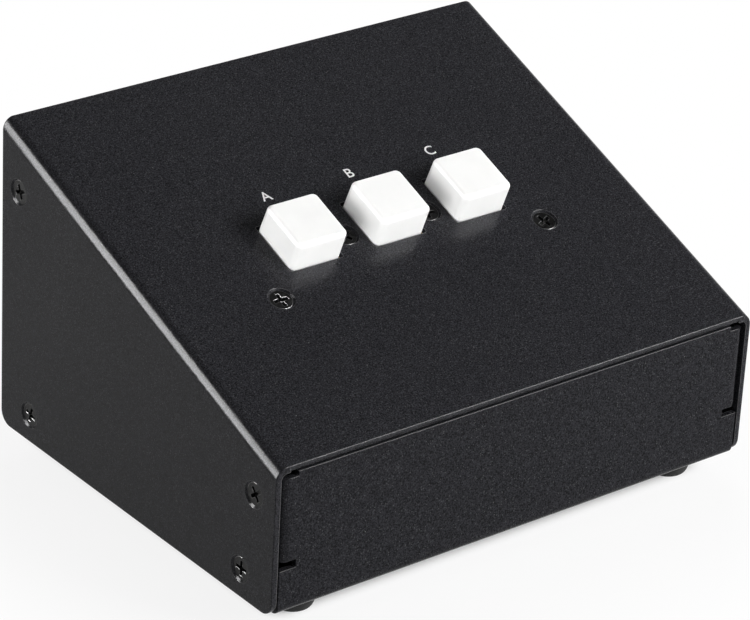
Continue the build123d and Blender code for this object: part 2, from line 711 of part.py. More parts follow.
def jack_leaves(x, z):
    """Three bent contact leaves round the plug, with feet through the jack board."""
    start_y = REAR_Y + NOSE_PROUD - PLUG_BORE_L - LEAF_START
    foot_y = JACK_BACK_Y + LEAF_FOOT_IN - LEAF_T
    axis = Vector(x, 0, z)
    with BuildPart() as leaves:
        for i in range(LEAF_COUNT):
            out = Vector(-1, 0, 0).rotate(Axis.Y, LEAF_FIRST_ANGLE + i * 360 / LEAF_COUNT)
            with BuildSketch(Plane(origin=axis, x_dir=(0, 1, 0), z_dir=Vector(0, 1, 0).cross(out))):
                with BuildLine():
                    leaf = FilletPolyline(
                        (start_y, LEAF_R),
                        (foot_y, LEAF_R),
                        (foot_y, LEAF_FOOT_R),
                        (JACK_BOARD_Y - PIN_TAIL, LEAF_FOOT_R),
                        radius=LEAF_BEND_IN + LEAF_T,
                    )
                    offset(leaf, amount=LEAF_T, side=Side.RIGHT)
                make_face()
            extrude(amount=LEAF_W / 2, both=True)
    return leaves.part


for column, x in zip(JACK_COLUMNS, JACK_X):
    for row, z in zip(JACK_ROWS, JACK_Z):
        save(jack_body(x, z), f"jack_{column}_{row}")
        save(jack_leaves(x, z), f"jack_leaves_{column}_{row}")

# Washers and nuts outside the rear panel
with BuildPart() as jack_washers:
    with BuildSketch(*jack_places()):
        Circle(WASHER_R)
        Circle(NOSE_R + NOSE_GAP, mode=Mode.SUBTRACT)
    extrude(amount=WASHER_T)
save(jack_washers.part, "jack_washers")

with BuildPart() as jack_nuts:
    with BuildSketch(*jack_places(REAR_Y + WASHER_T)):
        RegularPolygon(JACK_NUT_AF / 2, HEX_SIDES, major_radius=False)
        Circle(NOSE_R + THREAD_GAP, mode=Mode.SUBTRACT)
    extrude(amount=JACK_NUT_H)
save(jack_nuts.part, "jack_nuts")

# Jack board behind the sockets, with holes for their feet and for the tips of the plugs
board_half_x = JACK_X[0] + JACK_W / 2 + JACK_BOARD_EDGE
board_low_z = JACK_HEADER_Z - HEADER_DEPTH / 2 - HEADER_EDGE
board_high_z = JACK_Z[-1] + JACK_W / 2 + JACK_BOARD_EDGE
board_mid_z = (board_low_z + board_high_z) / 2
with BuildPart() as jack_board:
    with BuildSketch(rear_plane(0, board_mid_z, JACK_BACK_Y)):
        RectangleRounded(2 * board_half_x, board_high_z - board_low_z, BOARD_CORNER_R)
        with Locations(*[(-x, z - board_mid_z) for x in JACK_X for z in JACK_Z]):
            Circle(TIP_HOLE_R, mode=Mode.SUBTRACT)
            with PolarLocations(LEAF_FOOT_R + LEAF_T / 2, LEAF_COUNT, start_angle=LEAF_FIRST_ANGLE):
                Circle(LEAF_HOLE_R, mode=Mode.SUBTRACT)
    extrude(amount=-BOARD_T)
save(jack_board.part, "jack_board")

# Headers on the boards, the plugs on them and the ribbon between
for name, place in (
    ("switch", panel_plane(0, OUTER_SCREW_U, BOARD_BOTTOM_D, inward=True)),
    ("jack", Plane(origin=(0, JACK_BOARD_Y, JACK_HEADER_Z), x_dir=(1, 0, 0), z_dir=(0, -1, 0))),
):
    with BuildPart() as header:
        with BuildSketch(place):
            Rectangle(RIBBON_W + 2 * HEADER_WALL, HEADER_DEPTH)
        extrude(amount=HEADER_H)
    save(header.part, f"{name}_header")
    with BuildPart() as ribbon_plug:
        with BuildSketch(place.offset(HEADER_H)):
            Rectangle(RIBBON_W + 2 * HEADER_WALL, HEADER_DEPTH)
        extrude(amount=RIBBON_PLUG_H)
    save(ribbon_plug.part, f"{name}_ribbon_plug")

ribbon_start = panel_plane(0, OUTER_SCREW_U, BOARD_BOTTOM_D + HEADER_H + RIBBON_PLUG_H, inward=True)
ribbon_end_y = JACK_BOARD_Y - HEADER_H - RIBBON_PLUG_H
lead_z = JACK_HEADER_Z + RIBBON_BEND_R * (1 - sin(SLOPE))
lead_y = ribbon_start.origin.Y + (ribbon_start.origin.Z - lead_z) * tan(SLOPE)
with BuildPart() as ribbon_cable:
    with BuildLine(Plane.YZ) as route:
        lead = Line((ribbon_start.origin.Y, ribbon_start.origin.Z), (lead_y, lead_z))
        bend = JernArc((lead_y, lead_z), lead % 1, RIBBON_BEND_R, 90 - degrees(SLOPE))
        Line(bend @ 1, (ribbon_end_y, JACK_HEADER_Z))
    with BuildSketch(ribbon_start):
        Rectangle(RIBBON_W, RIBBON_T)
    sweep(path=route.line)
save(ribbon_cable.part, "ribbon_cable")

# Rubber feet under the base
foot_places = [
    (side * (CASE_W / 2 - FOOT_INSET_X), y)
    for side in (-1, 1)
    for y in (FRONT_Y + FOOT_INSET_Y, REAR_Y - FOOT_INSET_Y)
]
with BuildPart() as rubber_feet:
    for x, y in foot_places:
        with BuildSketch(Plane(origin=(x, y, 0), x_dir=(1, 0, 0), z_dir=(0, -1, 0))):
            with BuildLine():
                Line((0, 0), (FOOT_FLAT_R, 0))
                EllipticalCenterArc(
                    (FOOT_FLAT_R, FOOT_H), FOOT_R - FOOT_FLAT_R, FOOT_H, start_angle=270, arc_size=90
                )
                Line((FOOT_R, FOOT_H), (0, FOOT_H))
                Line((0, FOOT_H), (0, 0))
            make_face()
        revolve(axis=Axis((x, y, 0), (0, 0, 1)))
save(rubber_feet.part, "rubber_feet")
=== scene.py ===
import json
from math import cos, radians, sin

import bpy
from mathutils import Matrix, Vector


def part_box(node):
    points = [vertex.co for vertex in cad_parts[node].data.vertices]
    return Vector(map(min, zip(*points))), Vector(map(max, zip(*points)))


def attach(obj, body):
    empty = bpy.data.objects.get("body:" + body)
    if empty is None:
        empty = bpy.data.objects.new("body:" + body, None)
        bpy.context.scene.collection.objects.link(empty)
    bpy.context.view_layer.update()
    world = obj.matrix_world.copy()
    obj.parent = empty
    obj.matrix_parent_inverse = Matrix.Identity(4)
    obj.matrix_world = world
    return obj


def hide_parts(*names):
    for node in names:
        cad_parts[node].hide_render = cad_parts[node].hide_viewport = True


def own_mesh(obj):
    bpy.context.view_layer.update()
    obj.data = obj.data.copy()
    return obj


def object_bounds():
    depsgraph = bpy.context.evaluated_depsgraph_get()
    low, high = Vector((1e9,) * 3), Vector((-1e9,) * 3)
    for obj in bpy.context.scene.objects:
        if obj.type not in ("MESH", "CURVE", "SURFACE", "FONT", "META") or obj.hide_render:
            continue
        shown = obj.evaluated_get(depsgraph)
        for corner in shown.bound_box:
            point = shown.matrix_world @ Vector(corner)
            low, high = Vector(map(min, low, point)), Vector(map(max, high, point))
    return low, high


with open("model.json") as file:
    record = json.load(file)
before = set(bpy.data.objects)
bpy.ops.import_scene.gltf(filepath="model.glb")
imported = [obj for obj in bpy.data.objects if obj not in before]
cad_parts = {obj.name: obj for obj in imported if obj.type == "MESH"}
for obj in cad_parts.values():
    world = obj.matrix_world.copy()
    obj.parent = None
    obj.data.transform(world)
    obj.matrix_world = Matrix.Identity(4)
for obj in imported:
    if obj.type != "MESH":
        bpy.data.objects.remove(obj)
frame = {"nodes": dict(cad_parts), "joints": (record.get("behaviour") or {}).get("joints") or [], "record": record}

cad_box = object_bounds()
MM = 0.001
KEYS = "abc"
RIGHT = Vector((1, 0, 0))
UP = Vector((0, 0, 1))

# Camera fitted to the photograph; the aim is in millimetres, the focal length in pixels
IMAGE_W = 750
CAM_AZIMUTH = radians(-39.3615)
CAM_ELEVATION = radians(26.7548)
CAM_ROLL = radians(3.1537)
CAM_FOCAL_PX = 3771.25
CAM_AIM = Vector((-2.7576, 27.9579, 755.1168))
CAM_CLIP_START = 0.01
SENSOR_W = 36.0

# Sloped panel and rear panel, as in the part's source
PANEL_ORIGIN = Vector((0, -47.5, 35.2)) * MM
REAR_Y = 42.5 * MM
JACK_X = {"INPUT": 34.5 * MM, "A": 11.5 * MM, "B": -11.5 * MM, "C": -34.5 * MM}
JACK_Z = {"R": 23.2 * MM, "L": 45.2 * MM}

# Printed marks
INK_H = 0.03 * MM
CAPITAL_SHARE = 0.73
LETTER_H = 2.45 * MM
LETTER_BOLD = 0.02 * MM
LETTER_SHIFT = 0.6 * MM
LETTER_RISE = 12.6 * MM
LABEL_H = 2.4 * MM
LABEL_DROP = 9.2 * MM
LABEL_Z = 57.6 * MM

# Return springs
SPRING_WIRE_R = 0.2 * MM
SPRING_TURNS = 5
SPRING_STEPS = 24
SPRING_CLOSED = 0.12
SPRING_ROUNDNESS = 3

# Where noise has most of its values, and the places of a colour mix's sockets
NOISE_RANGE = (0.3, 0.7)
MIX_INPUTS = (0, 6, 7)
MIX_OUTPUT = 2

# Shaded edges: how far the rounded normal has turned where an edge begins and is full
BEVEL_SAMPLES = 8
EDGE_RANGE = (0.99, 0.90)
SPECK_CORE = 0.6

# Thin dull film on painted and blacked metal
FILM_IOR = 1.12

# Powder coat; noise scales are per metre
PEBBLE_SCALE = 3800.0
PEBBLE_ROUGH = 0.7
PEBBLE_RANGE = (0.40, 0.72)
PEEL_SCALE = 1250.0
PEEL_SHARE = 2.0
PAINT_DRIFT_SCALE = 35.0
PAINT_DRIFT = (-0.02, 0.03)
PAINT_BLUE = 1.15
PAINT_SATIN = (0.18, 0.26)
PAINT_RELIEF = 0.026 * MM
PAINT_EDGE = 0.16 * MM
# Paler paint edges: partly wear, partly a painted highlight along the edges
PAINT_EDGE_PATCH_SCALE = 420.0
PAINT_EDGE_PATCH_RANGE = (0.3, 0.6)
PAINT_WEAR_AND_HIGHLIGHT = 0.7
PAINT_WORN_AND_HIGHLIGHT_GREY = 0.3
# Fine pale specks in the paint: painted glints of light on the pebbled film
PAINT_GLINT_SPECKS = {"spacing": 0.5 * MM, "radius": 0.12 * MM, "share": 0.4}
PAINT_GLINT_AMOUNT, PAINT_GLINT_GREY = 0.6, 0.13
RARE_SPECKS = {"spacing": 3.4 * MM, "radius": 0.11 * MM, "share": 0.3}
RARE_SPECK_AMOUNT, RARE_SPECK_GREY = 0.7, 0.3

# Metal
MARK_SCALE = 1500.0
MARK_ROUGH = 0.6
MARK_RELIEF = 0.012 * MM
CLOUD_SCALE = 240.0
CLOUD_RANGE = (0.35, 0.6)
METAL_EDGE = 0.12 * MM
METAL_LEAST_EDGE_MIX = 0.3
METAL_ROUGH_SPREAD = (0.8, 1.25)

# Moulded plastic and rubber
GRAIN_ROUGH = 0.55
PLASTIC_DRIFT_SCALE = 160.0
PLASTIC_DRIFT = (-0.03, 0.03)
PLASTIC_ROUGH_SPREAD = (0.9, 1.1)
PLASTIC_EDGE = 0.25 * MM
PLASTIC_WEAR_RANGE = (0.3, 0.6)

# Circuit boards
TRACK_LENGTH = 7.6 * MM
TRACK_PITCH = 2.54 * MM
TRACK_GAP = 0.35 * MM
TRACK_SOFTNESS = 0.1
TRACK_STAGGER = 0.37
TRACK_RELIEF = 0.035 * MM
TRACK_AMOUNT = 0.75
BOARD_COAT = 0.2
BOARD_MOTTLE_SCALE = 300.0
BOARD_SATIN = (0.28, 0.4)
BOARD_EDGE = 0.3 * MM
BOARD_EDGE_AMOUNT = 0.6
MASK_DARK = (0.012, 0.085, 0.035, 1)
MASK_LIGHT = (0.02, 0.12, 0.05, 1)
MASK_TRACK = (0.045, 0.2, 0.075, 1)
LAMINATE = (0.4, 0.42, 0.26, 1)

# Ribbon cable
WIRE_PITCH = 1.27 * MM
WIRE_RELIEF = 0.3 * MM
WIRE_MARK = (0.5, 0.03, 0.03, 1)
JACKET_MOTTLE_SCALE = 500.0
JACKET_GREYS = (0.36, 0.46)
JACKET_BLUE = 1.05
JACKET_SATIN = (0.4, 0.55)
# Grooves between the wires painted darker: painted shade
GROOVE_SHADE_GREY = 0.1
GROOVE_RANGE = (0.0, 0.35)
GROOVE_SHADE_AMOUNT = 0.6

# White print
INK_SCALE = 3000.0
INK_RANGE = (0.3, 0.6)
INK_GREYS = (0.72, 0.9)
INK_SATIN = (0.45, 0.6)
INK_RELIEF = 0.01 * MM

# Floor, backdrop and light levels
FLOOR_SIZE = 6.0
FLOOR_GREY = 0.93
UNDER_EDGE = 0.009
CONTACT = (0.0, 0.006)
SHADOW = (0.006, 0.07)
SHADOW_SHARE = 0.12
CEILING_LEVEL = 0.2
DIFFUSE_LEVEL = 0.4
BACKDROP_TOP = (0.15, 0.4)
LAMP_AIM = Vector((0, 0, 0.035))


def feed(tree, socket, value):
    """Links another node's output to a socket, or sets the socket to a constant."""
    if isinstance(value, bpy.types.NodeSocket):
        tree.links.new(value, socket)
    else:
        socket.default_value = value


def add(tree, kind, **inputs):
    """A new node with its inputs fed; _ stands for a space in a socket's name, i0 for its place."""
    made = tree.nodes.new(kind)
    for name, value in inputs.items():
        by_place = name[0] == "i" and name[1:].isdigit()
        feed(tree, made.inputs[int(name[1:]) if by_place else name.replace("_", " ")], value)
    return made


def principled(name, **constants):
    """A new material and its principled shader, with constants on the shader's own sockets."""
    material = bpy.data.materials.new(name)
    material.use_nodes = True
    tree = material.node_tree
    shader = tree.nodes["Principled BSDF"]
    for socket, value in constants.items():
        shader.inputs[socket.replace("_", " ")].default_value = value
    return material, tree, shader


def dress(tree, shader, colour, roughness, normal):
    """Links the three looks that every material has to its shader."""
    tree.links.new(colour, shader.inputs["Base Color"])
    tree.links.new(roughness, shader.inputs["Roughness"])
    tree.links.new(normal, shader.inputs["Normal"])


def place(tree):
    """The piece's own coordinates, in metres."""
    return add(tree, "ShaderNodeTexCoord").outputs["Object"]


def noise(tree, scale, detail=2.0, rough=0.5, vector=None):
    """Cloudy noise with about scale features in a metre."""
    where = vector or place(tree)
    made = add(
        tree, "ShaderNodeTexNoise", Vector=where, Scale=scale, Detail=detail, Roughness=rough
    )
    return made.outputs["Fac"]


def stretched(tree, x, y, z):
    """Object coordinates drawn out along the axes whose factor is small."""
    return add(tree, "ShaderNodeMapping", Vector=place(tree), Scale=(x, y, z)).outputs["Vector"]


def fit(tree, value, from_low, from_high, low, high):
    """A value carried from one range to another, in a straight line and held at its ends."""
    made = add(
        tree,
        "ShaderNodeMapRange",
        Value=value,
        From_Min=from_low,
        From_Max=from_high,
        To_Min=low,
        To_Max=high,
    )
    return made.outputs["Result"]


def spread(tree, value, low, high):
    """Noise spread from low to high."""
    return fit(tree, value, *NOISE_RANGE, low, high)


def smooth(tree, value, start, stop):
    """0 up to start and 1 from stop on, with a soft change between."""
    made = add(tree, "ShaderNodeMapRange", Value=value, From_Min=start, From_Max=stop)
    made.interpolation_type = "SMOOTHSTEP"
    return made.outputs["Result"]


def math(tree, operation, *values):
    """The output of a math node."""
    made = tree.nodes.new("ShaderNodeMath")
    made.operation = operation
    for socket, value in zip(made.inputs, values):
        feed(tree, socket, value)
    return made.outputs[0]


def times(tree, first, second):
    """The product of two values."""
    return math(tree, "MULTIPLY", first, second)


def vector_math(tree, operation, *vectors):
    """The single value that a vector math node gives."""
    made = tree.nodes.new("ShaderNodeVectorMath")
    made.operation = operation
    for socket, vector in zip(made.inputs, vectors):
        tree.links.new(vector, socket)
    return made.outputs["Value"]


def blend(tree, amount, low, high):
    """A colour between low and high."""
    made = tree.nodes.new("ShaderNodeMix")
    made.data_type = "RGBA"
    for index, value in zip(MIX_INPUTS, (amount, low, high)):
        feed(tree, made.inputs[index], value)
    return made.outputs[MIX_OUTPUT]


def grey(level, blue=1.0):
    """A grey, with more or less blue in it."""
    return (level, level, level * blue, 1.0)


def bump(tree, height, depth, strength=0.5, normal=None):
    """The normal over small relief, on the piece's own normal or another."""
    made = add(tree, "ShaderNodeBump", Strength=strength, Distance=depth, Height=height)
    if normal:
        tree.links.new(normal, made.inputs["Normal"])
    return made.outputs["Normal"]


def rounded(tree, width):
    """The normal of the piece with its edges shaded round."""
    made = add(tree, "ShaderNodeBevel", Radius=width)
    made.samples = BEVEL_SAMPLES
    return made.outputs["Normal"]


def edges(tree, soft):
    """About 1 along the piece's edges and 0 on its faces, from its rounded normal."""
    flat = add(tree, "ShaderNodeNewGeometry").outputs["Normal"]
    return fit(tree, vector_math(tree, "DOT_PRODUCT", soft, flat), *EDGE_RANGE, 0.0, 1.0)


def specks(tree, spacing, radius, share):
    """Small dots, one in some of the cells of a scattered grid."""
    cell = add(tree, "ShaderNodeTexVoronoi", Vector=place(tree), Scale=1.0 / spacing)
    chosen = add(tree, "ShaderNodeSeparateColor", Color=cell.outputs["Color"])
    rim = radius / spacing
    dot = fit(tree, cell.outputs["Distance"], rim, SPECK_CORE * rim, 0.0, 1.0)
    return times(tree, dot, math(tree, "LESS_THAN", chosen.outputs["Red"], share))


def paint(name, dark, light, specular):
    """Satin black powder coat: pebbled film, pale dust specks, painted glint specks, paler edges (wear and painted
    highlight).
    """
    material, tree, shader = principled(name, Specular_IOR_Level=specular, IOR=FILM_IOR)
    pebble = noise(tree, PEBBLE_SCALE, rough=PEBBLE_ROUGH)
    peel = noise(tree, PEEL_SCALE, detail=1.0)
    drift = noise(tree, PAINT_DRIFT_SCALE)
    soft = rounded(tree, PAINT_EDGE)
    patchy = fit(tree, noise(tree, PAINT_EDGE_PATCH_SCALE, 3.0), *PAINT_EDGE_PATCH_RANGE, 0.5, 1.0)
    # Edge mask: partly worn paint, partly a painted highlight on the edges
    worn_and_highlight = times(tree, edges(tree, soft), patchy)
    # Fine pale specks: painted glints
    fine = times(tree, specks(tree, **PAINT_GLINT_SPECKS), PAINT_GLINT_AMOUNT)
    rare = times(tree, specks(tree, **RARE_SPECKS), RARE_SPECK_AMOUNT)
    shade = fit(tree, pebble, *PEBBLE_RANGE, 0.0, 1.0)
    film = blend(tree, shade, grey(dark, PAINT_BLUE), grey(light, PAINT_BLUE))
    # Paler edges: worn paint and a painted edge highlight
    film = blend(tree, times(tree, worn_and_highlight, PAINT_WEAR_AND_HIGHLIGHT), film, grey(PAINT_WORN_AND_HIGHLIGHT_GREY))
    film = blend(tree, fine, film, grey(PAINT_GLINT_GREY))
    film = blend(tree, rare, film, grey(RARE_SPECK_GREY))
    satin = spread(tree, pebble, *PAINT_SATIN)
    satin = math(tree, "ADD", satin, spread(tree, drift, *PAINT_DRIFT))
    relief = math(tree, "ADD", pebble, times(tree, peel, PEEL_SHARE))
    dress(tree, shader, film, satin, bump(tree, relief, PAINT_RELIEF, normal=soft))
    return material


def metal(name, dark, light, worn_and_highlight, rough, streak, metallic=1.0, wear_and_highlight=0.6):
    """Bare or plated metal: fine marks along one way, brighter edges: rubbed wear, on black screws partly a
    painted highlight.
    """
    material, tree, shader = principled(name, Metallic=metallic, IOR=FILM_IOR)
    marks = noise(tree, MARK_SCALE, 4.0, MARK_ROUGH, stretched(tree, *streak))
    cloud = noise(tree, CLOUD_SCALE, 3.0)
    soft = rounded(tree, METAL_EDGE)
    patchy = fit(tree, cloud, *CLOUD_RANGE, METAL_LEAST_EDGE_MIX, wear_and_highlight)
    tone = blend(tree, spread(tree, marks, 0.0, 1.0), dark, light)
    # Brighter edges: rubbed wear, and on the black screws partly a painted rim highlight
    tone = blend(tree, times(tree, edges(tree, soft), patchy), tone, worn_and_highlight)
    satin = spread(tree, cloud, *(rough * share for share in METAL_ROUGH_SPREAD))
    dress(tree, shader, tone, satin, bump(tree, marks, MARK_RELIEF, normal=soft))
    return material


def plastic(name, low, high, rough, grain, depth, specular=0.5, edge=None, edge_amount=0.0):
    """Moulded plastic or rubber: eroded grain, slight shifts of tone, paler edges if asked for."""
    material, tree, shader = principled(name, Specular_IOR_Level=specular)
    fine = noise(tree, 1.0 / grain, 3.0, GRAIN_ROUGH)
    drift = noise(tree, PLASTIC_DRIFT_SCALE)
    tone = blend(tree, spread(tree, drift, 0.0, 1.0), low, high)
    if edge:
        patchy = fit(tree, fine, *PLASTIC_WEAR_RANGE, edge_amount * 0.5, edge_amount)
        rubbed = times(tree, edges(tree, rounded(tree, PLASTIC_EDGE)), patchy)
        tone = blend(tree, rubbed, tone, edge)
    satin = spread(tree, fine, *(rough * share for share in PLASTIC_ROUGH_SPREAD))
    satin = math(tree, "ADD", satin, spread(tree, drift, *PLASTIC_DRIFT))
    dress(tree, shader, tone, satin, bump(tree, fine, depth))
    return material


def solder_mask(name):
    """Green board: mask with faint tracks under it, pale laminate on the cut edges."""
    material, tree, shader = principled(name, Specular_IOR_Level=0.5, Coat_Weight=BOARD_COAT)
    bricks = add(
        tree,
        "ShaderNodeTexBrick",
        Vector=place(tree),
        Scale=1.0,
        Brick_Width=TRACK_LENGTH,
        Row_Height=TRACK_PITCH,
        Mortar_Size=TRACK_GAP,
        Mortar_Smooth=TRACK_SOFTNESS,
    )
    bricks.offset = TRACK_STAGGER
    tracks = bricks.outputs["Fac"]
    mottle = noise(tree, BOARD_MOTTLE_SCALE, 3.0)
    mask = blend(tree, spread(tree, mottle, 0.0, 1.0), MASK_DARK, MASK_LIGHT)
    mask = blend(tree, times(tree, tracks, TRACK_AMOUNT), mask, MASK_TRACK)
    cut = times(tree, edges(tree, rounded(tree, BOARD_EDGE)), BOARD_EDGE_AMOUNT)
    mask = blend(tree, cut, mask, LAMINATE)
    satin = spread(tree, mottle, *BOARD_SATIN)
    dress(tree, shader, mask, satin, bump(tree, tracks, TRACK_RELIEF, strength=0.8))
    return material


def flat_cable(name):
    """Grey ribbon cable: one ridge for each wire, painted shade in the grooves, one marked edge wire."""
    material, tree, shader = principled(name, Specular_IOR_Level=0.45)
    across = add(tree, "ShaderNodeSeparateXYZ", Vector=place(tree)).outputs["X"]
    phase = math(tree, "FRACT", math(tree, "DIVIDE", across, WIRE_PITCH))
    ridge = math(tree, "SINE", times(tree, phase, radians(180.0)))
    edge_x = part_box("ribbon_cable")[0].x
    marked = math(tree, "LESS_THAN", across, edge_x + WIRE_PITCH)
    # Darker between the ridges: painted shade in the grooves
    groove_shade = fit(tree, ridge, *GROOVE_RANGE, GROOVE_SHADE_AMOUNT, 0.0)
    mottle = noise(tree, JACKET_MOTTLE_SCALE)
    dark, light = (grey(level, JACKET_BLUE) for level in JACKET_GREYS)
    jacket = blend(tree, spread(tree, mottle, 0.0, 1.0), dark, light)
    jacket = blend(tree, marked, jacket, WIRE_MARK)
    jacket = blend(tree, groove_shade, jacket, grey(GROOVE_SHADE_GREY))
    satin = spread(tree, mottle, *JACKET_SATIN)
    dress(tree, shader, jacket, satin, bump(tree, ridge, WIRE_RELIEF, strength=0.8))
    return material


def ink(name):
    """White screen print with a slightly broken film."""
    material, tree, shader = principled(name, Specular_IOR_Level=0.3)
    film = noise(tree, INK_SCALE)
    thin, full = (grey(level) for level in INK_GREYS)
    tone = blend(tree, fit(tree, film, *INK_RANGE, 0.0, 1.0), thin, full)
    satin = spread(tree, film, *INK_SATIN)
    dress(tree, shader, tone, satin, bump(tree, film, INK_RELIEF, strength=0.4))
    return material


# Materials by the record's slots
looks = (
    ("cover_paint", paint, dict(dark=0.008, light=0.056, specular=1.0)),
    # tray_paint: the cover's powder coat set less glossy and a little darker, so that the front panel renders
    # darker; a shaded copy of the same paint
    ("tray_paint", paint, dict(dark=0.007, light=0.042, specular=0.6)),
    (
        # Black screws: the pale edge colour is partly wear, partly a painted rim highlight
        "screw_black",
        metal,
        dict(
            dark=grey(0.006),
            light=grey(0.018),
            worn_and_highlight=grey(0.2),
            rough=0.3,
            streak=(1.0, 1.0, 1.0),
            metallic=0.8,
            wear_and_highlight=0.8,
        ),
    ),
    (
        "nickel",
        metal,
        dict(
            dark=(0.5, 0.485, 0.45, 1),
            light=(0.66, 0.65, 0.61, 1),
            worn_and_highlight=grey(0.8),
            rough=0.24,
            streak=(1.0, 0.3, 1.0),
        ),
    ),
    (
        "brass",
        metal,
        dict(
            dark=(0.58, 0.43, 0.19, 1),
            light=(0.75, 0.59, 0.3, 1),
            worn_and_highlight=(0.9, 0.78, 0.5, 1),
            rough=0.3,
            streak=(1.0, 1.0, 0.2),
        ),
    ),
    (
        "spring_steel",
        metal,
        dict(
            dark=grey(0.38),
            light=grey(0.52),
            worn_and_highlight=grey(0.7),
            rough=0.28,
            streak=(1.0, 1.0, 0.3),
        ),
    ),
    (
        "key_white",
        plastic,
        dict(
            low=grey(0.84, 0.99),
            high=grey(0.87, 0.99),
            rough=0.45,
            grain=0.3 * MM,
            depth=0.012 * MM,
            specular=0.25,
        ),
    ),
    (
        "rubber",
        plastic,
        dict(
            low=grey(0.012),
            high=grey(0.024),
            rough=0.75,
            grain=0.35 * MM,
            depth=0.06 * MM,
            specular=0.3,
        ),
    ),
    (
        "switch_body",
        plastic,
        dict(
            low=grey(0.024),
            high=grey(0.04),
            rough=0.5,
            grain=0.25 * MM,
            depth=0.03 * MM,
            specular=0.4,
            edge=grey(0.12),
            edge_amount=0.5,
        ),
    ),
    (
        "switch_stem",
        plastic,
        dict(
            low=(0.72, 0.7, 0.62, 1),
            high=(0.8, 0.78, 0.7, 1),
            rough=0.4,
            grain=0.3 * MM,
            depth=0.015 * MM,
        ),
    ),
    (
        "jack_body",
        plastic,
        dict(
            low=grey(0.016),
            high=grey(0.03),
            rough=0.42,
            grain=0.25 * MM,
            depth=0.03 * MM,
            specular=0.45,
            edge=grey(0.1),
            edge_amount=0.5,
        ),
    ),
    (
        "connector",
        plastic,
        dict(
            low=grey(0.04),
            high=grey(0.065),
            rough=0.5,
            grain=0.25 * MM,
            depth=0.03 * MM,
            specular=0.4,
            edge=grey(0.16),
            edge_amount=0.5,
        ),
    ),
    ("board", solder_mask, {}),
    ("ribbon", flat_cable, {}),
)
materials = {slot: maker(slot, **values) for slot, maker, values in looks}
for row in frame["record"]["subparts"]:
    node_mesh = frame["nodes"][row["node"]].data
    node_mesh.materials.clear()
    node_mesh.materials.append(materials[row["material_slot"]])


def link(made):
    """Puts a new object in the scene."""
    bpy.context.scene.collection.objects.link(made)
    return made


def mesh_of(curve, material):
    """The mesh of a curve or text, with one material."""
    loose = link(bpy.data.objects.new(curve.name + "_curve", curve))
    bpy.context.view_layer.update()
    shown = loose.evaluated_get(bpy.context.evaluated_depsgraph_get())
    mesh = bpy.data.meshes.new_from_object(shown)
    bpy.data.objects.remove(loose)
    mesh.materials.clear()
    mesh.materials.append(material)
    return mesh


# Printed letters on the sloped panel and the rear
slope = -Vector(frame["joints"][0]["axis"])
up_slope = slope.cross(RIGHT)
white_ink = ink("white_ink")


def printed(name, words, height, origin, across, up):
    """Letters as a thin film of ink, centred on a point of a flat face."""
    text = bpy.data.curves.new(name, "FONT")
    text.body = words
    text.align_x, text.align_y = "CENTER", "CENTER"
    text.size = height / CAPITAL_SHARE
    text.extrude = INK_H / 2
    text.offset = LETTER_BOLD
    piece = link(bpy.data.objects.new(name, mesh_of(text, white_ink)))
    out = across.cross(up)
    turn = Matrix((across, up, out)).transposed().to_4x4()
    piece.matrix_world = Matrix.Translation(origin + out * INK_H / 2) @ turn
    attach(piece, "case")


for key in KEYS:
    low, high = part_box("key_cap_" + key)
    centre = (low + high) / 2
    along = (centre - PANEL_ORIGIN).dot(up_slope) + LETTER_RISE
    spot = PANEL_ORIGIN + up_slope * along + RIGHT * (centre.x + LETTER_SHIFT)
    printed("letter_" + key, key.upper(), LETTER_H, spot, RIGHT, up_slope)

for column, x in JACK_X.items():
    spot = Vector((x, REAR_Y, LABEL_Z))
    printed("rear_label_" + column.lower(), column, LABEL_H, spot, -RIGHT, UP)
    for side, z in JACK_Z.items():
        name = "rear_side_" + column.lower() + "_" + side.lower()
        printed(name, side, LABEL_H, Vector((x - LABEL_DROP, REAR_Y, z)), -RIGHT, UP)


# Return springs as coils at their free length; the real springs shorten as their keys go down
def coil_spring(key):
    """A spring with closed end turns, in the place of its CAD solid."""
    node = "return_spring_" + key
    low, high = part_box(node)
    middle = (low + high) / 2
    heights = [vertex.co.dot(slope) for vertex in frame["nodes"][node].data.vertices]
    free = max(heights) - min(heights)
    foot = middle + slope * (min(heights) + SPRING_WIRE_R - middle.dot(slope))
    rise = free - 2 * SPRING_WIRE_R
    radius = (high.x - low.x) / 2 - SPRING_WIRE_R
    wire = bpy.data.curves.new("coil_spring_" + key, "CURVE")
    wire.dimensions = "3D"
    wire.bevel_depth = SPRING_WIRE_R
    wire.bevel_resolution = SPRING_ROUNDNESS
    wire.use_fill_caps = True
    line = wire.splines.new("POLY")
    steps = SPRING_TURNS * SPRING_STEPS
    line.points.add(steps)
    for step, point in enumerate(line.points):
        angle = radians(360.0) * step / SPRING_STEPS
        share = (step / steps - SPRING_CLOSED) / (1 - 2 * SPRING_CLOSED)
        lift = slope * (rise * min(max(share, 0.0), 1.0))
        round_axis = (RIGHT * cos(angle) + up_slope * sin(angle)) * radius
        point.co = (*(foot + round_axis + lift), 1.0)
    mesh = mesh_of(wire, materials["spring_steel"])
    mesh.shade_smooth()
    piece = link(bpy.data.objects.new("coil_spring_" + key, mesh))
    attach(piece, "case")
    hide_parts(node)
    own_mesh(piece)


for key in KEYS:
    coil_spring(key)

